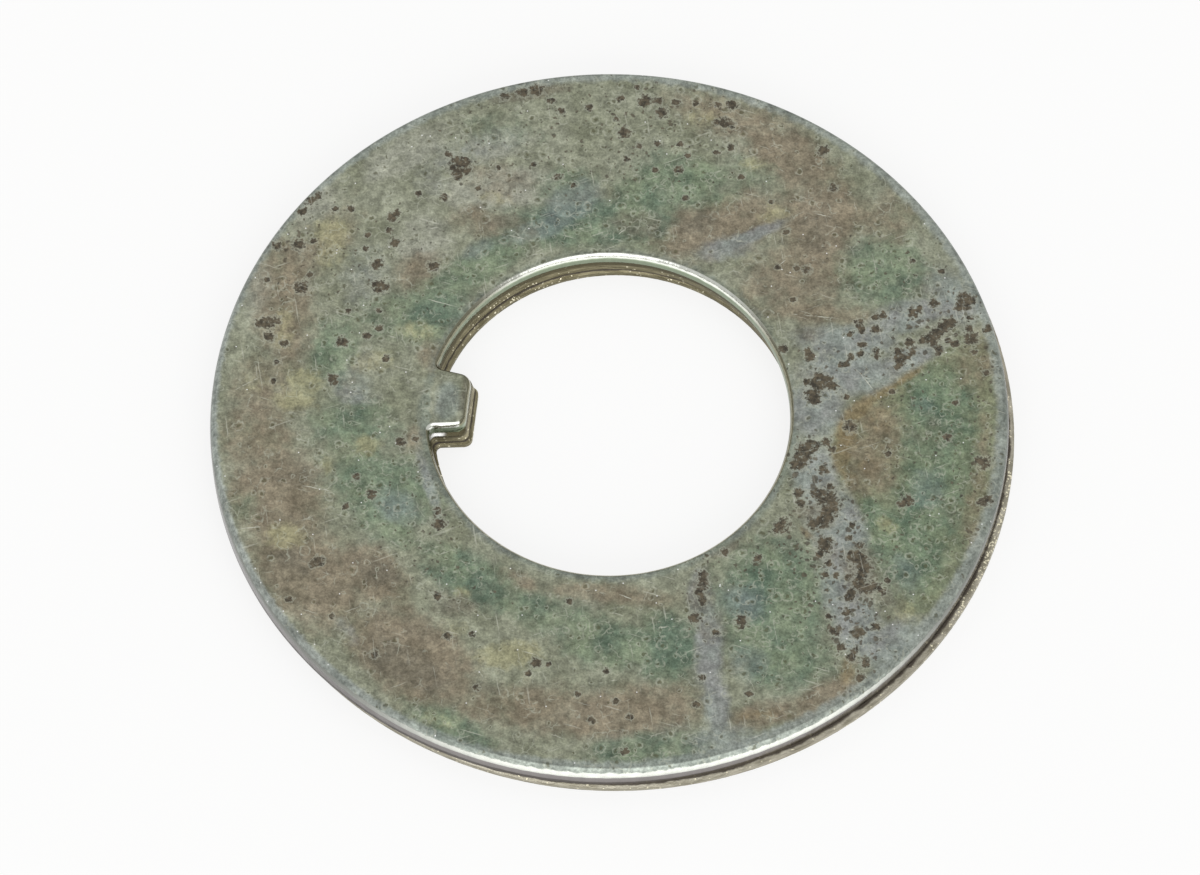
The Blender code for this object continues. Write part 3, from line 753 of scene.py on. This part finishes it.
def agedZincPlate():
    material, add = emptied(bpy.data.materials.new("agedZincPlate"))
    finish, top, foot = plateFinish, washer["thickness"], washer["crackHeight"] + 0.42
    place = inMillimetres(add)
    names = [layer[0] for layer in finish["layers"]] + ["speckled", "spot", "boreSide", "rubbed", "tabSide"]
    weights = {name: add("Attribute", {"attribute_name": name}).outputs["Fac"] for name in names}
    boreSide = weights["boreSide"]
    jitter = add("TexNoise", place, Scale=3.2, Detail=2).outputs["Color"]
    jittered = add("VectorMath MULTIPLY_ADD", jitter, (0.4, 0.4, 0), place)
    colour = stainLayers(add, place, weights)
    pale, dots = blisterMarks(add, place, jittered, weights)
    spotMask, seam, corroded = corrosionSpots(add, place, jittered, weights)
    # painted glints: small white grains of the zinc, more of them on the worn rim at the lower left
    grains = add("TexVoronoi", flat, place, Scale=1 / 0.55)
    chance = add("SeparateColor", grains.outputs["Color"])
    luck = add("MULTIPLY_ADD", weights["paleRim"], 0.25, chance)
    grain = add("MapRange", smooth, grains, 0.03, 0.11, 0.8, 0)
    glint = add("MULTIPLY", grain, add("GREATER_THAN", luck, 0.978))
    pale = add("MAXIMUM", pale, seam)
    for mask, name in ((pale, "ringColour"), (dots, "dotColour"), (glint, "glintColour")):
        colour = add("Mix", inColour, mask, colour, finish[name])

    # only the flat face is spotted, the rolled shoulders stay clean
    height = add("SeparateXYZ", place).outputs["Z"]
    onFace = add("MapRange", height, top - 0.25, top - 0.05)
    spotMask = add("MULTIPLY", spotMask, onFace)

    # the land is smeared smooth and grey, with painted shade of the crack line along its foot, and the
    # shoulder above it is clean zinc, painted bright as a highlight where it is worn clean
    ripple = add("TexNoise", place, Scale=1 / 0.8, Detail=3)
    rippled = add("MULTIPLY_ADD", ripple, 0.16, height)
    nicks = add("TexNoise", place, Scale=1 / 0.5, Detail=3, Roughness=0.6)
    nicked = add("MULTIPLY_ADD", nicks, 0.4, height)
    rimWall = add("MapRange", smooth, nicked, top - 0.22, top - 0.1, 1, 0)
    boreWall = add("MapRange", smooth, height, top - 0.07, top - 0.035, 1, 0)
    wall = add("Mix", boreSide, rimWall, boreWall)
    burnish = add("MULTIPLY", wall, add("GREATER_THAN", height, 0.3))
    rimFoot, boreFoot = finish["shoulderFoot"]
    shoulder = add("MULTIPLY_ADD", boreSide, rimFoot - boreFoot, rippled)
    shoulder = add("MapRange", smooth, shoulder, rimFoot, rimFoot + 0.12)
    rimLand, boreLand, tabLand = finish["landColours"]
    smeared = add("Mix", inColour, boreSide, rimLand, boreLand)
    smeared = add("Mix", inColour, weights["tabSide"], smeared, tabLand)
    rolled = add("Mix", inColour, boreSide, *finish["shoulderColours"])
    # the worn clean shoulders are painted bright as a highlight
    clean = add("Mix", inColour, weights["rubbed"], rolled, finish["rubbedHighlightColour"])
    edgeColour = add("Mix", inColour, shoulder, smeared, clean)
    # painted shade of the crack line along the land's foot
    crackLineShade = add("MapRange", smooth, rippled, foot, foot + 0.12, 0.9, 0)
    edgeColour = add("Mix", inColour, crackLineShade, edgeColour, finish["landFootShadeColour"])
    # upright score marks, as the punch dragged over the land
    dragged = add("Mapping", place, Scale=(2.2, 2.2, 0.4))
    scored = add("TexNoise", dragged, Scale=1, Detail=4, Roughness=0.6)
    score = add("MapRange", {"clamp": False}, scored, 0, 1, 0.8, 1.2)
    edgeColour = add("Mix", {**inColour, "blend_type": "MULTIPLY"}, 1, edgeColour, score)
    scratched = add("MULTIPLY", scratchLines(add, place, jitter), onFace)
    for mask, over in ((burnish, edgeColour), (spotMask, corroded), (scratched, finish["scratchColour"])):
        colour = add("Mix", inColour, mask, colour, over)

    # the metal turns dull and dark under the corrosion
    metal = add("MapRange", spotMask, 0, 1, 1, finish["corrodedMetal"])
    satin = add("TexNoise", place, Scale=1 / 0.6, Detail=3)
    rough = add("MapRange", satin, 0, 1, *finish["roughness"])
    rough = add("Mix", burnish, rough, finish["burnishedRoughness"])
    rough = add("Mix", spotMask, rough, finish["corrodedRoughness"])
    # relief: sandy plate and sunken spots, and dents in the land
    relief = add("TexNoise", place, Scale=1 / 0.3, Detail=3, Roughness=0.6)
    relief = add("MULTIPLY_ADD", spotMask, -1.2, relief)
    dents = add("TexNoise", place, Scale=1 / 0.9, Detail=3, Roughness=0.6)
    relief = add("MULTIPLY_ADD", add("MULTIPLY", dents, burnish), 9, relief)
    bump = add("Bump", Strength=0.35, Distance=0.02 * mm, Height=relief)
    shader = add("BsdfPrincipled", Metallic=metal, Roughness=rough, Normal=bump, **{"Base Color": colour})
    add("OutputMaterial", Surface=shader)
    return material


# Torn steel under the same plate: a rough, tan-olive break-out with painted golden glints, and a
# dark line of painted shade where the crack began.
tornFinish = {
    "rimGround": ("#c0bbab", "#928d7c"),
    "boreGround": ("#989176", "#6d6750"),
    # painted glints
    "glint": "#f4edd0",
    "underLand": "#57523f",
    # painted highlight on the tab's lower flank
    "flankGlint": "#ffffff",
    # painted shade along the crack line
    "crack": "#423a2f",
    "roughness": 0.52,
    "glintRoughness": 0.22,
    "crackMetal": 0.3,
}


def tornSteel():
    material, add = emptied(bpy.data.materials.new("tornZincedSteel"))
    place = inMillimetres(add)
    height = add("SeparateXYZ", place).outputs["Z"]
    names = ("boreSide", "grainy", "shine")
    boreSide, grainy, shine = [add("Attribute", {"attribute_name": name}).outputs["Fac"] for name in names]
    # drawn out along the edge, as the punch left it
    drawn = add("Mapping", place, Scale=(0.8, 0.8, 7))
    ground = add("TexNoise", drawn, Scale=1, Detail=4)
    spread = add("MapRange", ground, 0.35, 0.65)
    sides = [add("Mix", inColour, spread, *tornFinish[name]) for name in ("rimGround", "boreGround")]
    colour = add("Mix", inColour, boreSide, *sides)
    # painted glints, lying closer where the glint chance is raised
    crumbs = add("TexVoronoi", place, Scale=1 / 0.1)
    chance = add("SeparateColor", crumbs.outputs["Color"])
    glint = add("MapRange", add("MULTIPLY_ADD", grainy, 0.24, chance), 0.97, 1)
    # crack line: painted shade, dark from just under the land's foot down into the torn steel
    wander = add("TexNoise", place, Scale=1.2, Detail=3)
    lifted = add("MULTIPLY_ADD", wander, 0.14, height)
    away = add("ABSOLUTE", add("SUBTRACT", lifted, washer["crackHeight"] + 0.07))
    dark = add("MapRange", smooth, away, 0.06, 0.12, 1, 0)
    brown = add("MapRange", smooth, lifted, 1.08, 1.28, 0, 0.9)
    # the glints and the flank's white are painted highlights, the crack's dark colour painted shade
    for mask, name in ((glint, "glint"), (brown, "underLand"), (dark, "crack"), (shine, "flankGlint")):
        colour = add("Mix", inColour, mask, colour, tornFinish[name])
    metal = add("MapRange", dark, 0, 1, 1, tornFinish["crackMetal"])
    rough = add("MapRange", glint, 0, 1, tornFinish["roughness"], tornFinish["glintRoughness"])
    bump = add("Bump", Strength=0.5, Distance=0.04 * mm, Height=crumbs)
    shader = add("BsdfPrincipled", Metallic=metal, Roughness=rough, Normal=bump, **{"Base Color": colour})
    add("OutputMaterial", Surface=shader)
    return material


piece = buildWasher()
tearEdges(piece, agedZincPlate(), tornSteel())
piece.data.shade_smooth()
piece.data.set_sharp_from_angle(angle=radians(40))
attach(piece, "root")
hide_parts("tab_lock_washer")
print("washer finished:", len(piece.data.polygons), "faces")

# Camera: a long lens from the front, high up. Lengths in outer radii of the washer.
camera = {
    "radius": 25.4 * mm,
    "focalPixels": 7165.0,
    "imageWidth": 1200.0,
    "pitch": 61.48,
    "roll": -0.6293,
    "turn": 6.8,
    "distance": 18.0,
    "offset": (-0.02378, -0.01842),
}


def placeCamera():
    pitch, roll = radians(camera["pitch"]), radians(camera["roll"])
    back = Vector((0, -cos(pitch), sin(pitch)))
    right = Vector((1, 0, 0))
    up = back.cross(right)
    across = right * cos(roll) + up * sin(roll)
    upright = up * cos(roll) - right * sin(roll)
    place = back * camera["distance"] + across * camera["offset"][0] + upright * camera["offset"][1]
    pose = Matrix((across, upright, back)).transposed().to_4x4()
    pose.translation = place * camera["radius"]
    data = bpy.data.cameras.new("camera")
    data.sensor_width = 36
    data.lens = camera["focalPixels"] * data.sensor_width / camera["imageWidth"]
    data.clip_start = 0.01
    made = inScene("camera", data)
    made.matrix_world = Matrix.Rotation(radians(camera["turn"]), 4, "Z") @ pose
    bpy.context.scene.camera = made


placeCamera()

# Floor and light: a pale table, a soft sky all round, a window in front and a softbox above
studio = {
    "floorSize": 3.0,
    "floorDrop": 0.02 * mm,
    "floorColour": "#f2f2f0",
    "floorGlow": 0.8,  # share of its colour that is seen evenly bright
    "tableFront": (0.247, -0.969, 0.0),
    "tableAside": (0.969, 0.247, 0.0),
    "tableLight": (0.85, 1.9),  # painted glow of the table as the metal sees it: elsewhere, and front right and within the bore
    "skyStrength": 1.02,
    "lights": [  # name, place in m, size in m, watts
        ("softbox_above", (-0.15, 0.55, 0.95), (0.9, 0.6), 0.55),
        ("window_front", (0.10, -0.82, 0.38), (1.2, 0.7), 4.0),
    ],
}


def paleFloor():
    material, add = emptied(bpy.data.materials.new("paleFloor"))
    rays = add("LightPath").outputs
    seen = add("ADD", capped, rays["Is Camera Ray"], rays["Is Glossy Ray"])
    seen = add("ADD", capped, seen, rays["Is Transmission Ray"])
    share = add("MULTIPLY", seen, studio["floorGlow"])
    # painted light: the table glows brighter front right, seen only in the metal's reflections
    place = add("TexCoord").outputs["Object"]
    reach = add("VectorMath LENGTH", place)
    toFront = add("VectorMath DOT_PRODUCT", add("VectorMath NORMALIZE", place), studio["tableFront"])
    inFront = add("MapRange", smooth, toFront, 0.6, 0.92)
    lit = add("MULTIPLY", inFront, add("MapRange", smooth, reach, 25.2 * mm, 27.5 * mm))
    # and it glows as bright within the bore, painted light for the bore's highlight
    aside = add("ABSOLUTE", add("VectorMath DOT_PRODUCT", place, studio["tableAside"]))
    middle = add("MapRange", smooth, aside, 7.5 * mm, 10.5 * mm, 1, 0)
    within = add("MapRange", smooth, reach, 8.5 * mm, 10.5 * mm, 1, 0)
    lit = add("MAXIMUM", lit, add("MULTIPLY", middle, within))
    light = add("MapRange", lit, 0, 1, *studio["tableLight"])
    glow = add("Emission", Strength=add("Mix", rays["Is Camera Ray"], light, 1))
    matt = add("BsdfDiffuse", Color=studio["floorColour"])
    add("OutputMaterial", Surface=add("MixShader", share, matt, glow))
    return material


def buildStudio():
    size = studio["floorSize"] / 2
    mesh = bpy.data.meshes.new("floor")
    corners = [(-size, -size, 0), (size, -size, 0), (size, size, 0), (-size, size, 0)]
    mesh.from_pydata(corners, [], [(0, 1, 2, 3)])
    mesh.transform(Matrix.Translation((0, 0, -studio["floorDrop"])))
    mesh.materials.append(paleFloor())
    floor = inScene("floor", mesh)

    world, add = emptied(bpy.data.worlds.new("studio"))
    seen = add("LightPath").outputs["Is Camera Ray"]
    sky, white = [add("Background", Strength=strength) for strength in (studio["skyStrength"], 1)]
    add("OutputWorld", Surface=add("MixShader", seen, sky, white))
    bpy.context.scene.world = world

    for name, place, (width, height), watts in studio["lights"]:
        lamp = bpy.data.lights.new(name, "AREA")
        lamp.shape = "RECTANGLE"
        lamp.size, lamp.size_y = width, height
        lamp.energy = watts
        made = inScene(name, lamp)
        turned = Matrix.Rotation(radians(camera["turn"]), 4, "Z") @ Vector(place)
        made.location = turned
        made.rotation_euler = (-turned).to_track_quat("-Z", "Y").to_euler()


buildStudio()
bpy.context.scene.view_settings.view_transform = "Standard"
print("camera, floor and light in place")
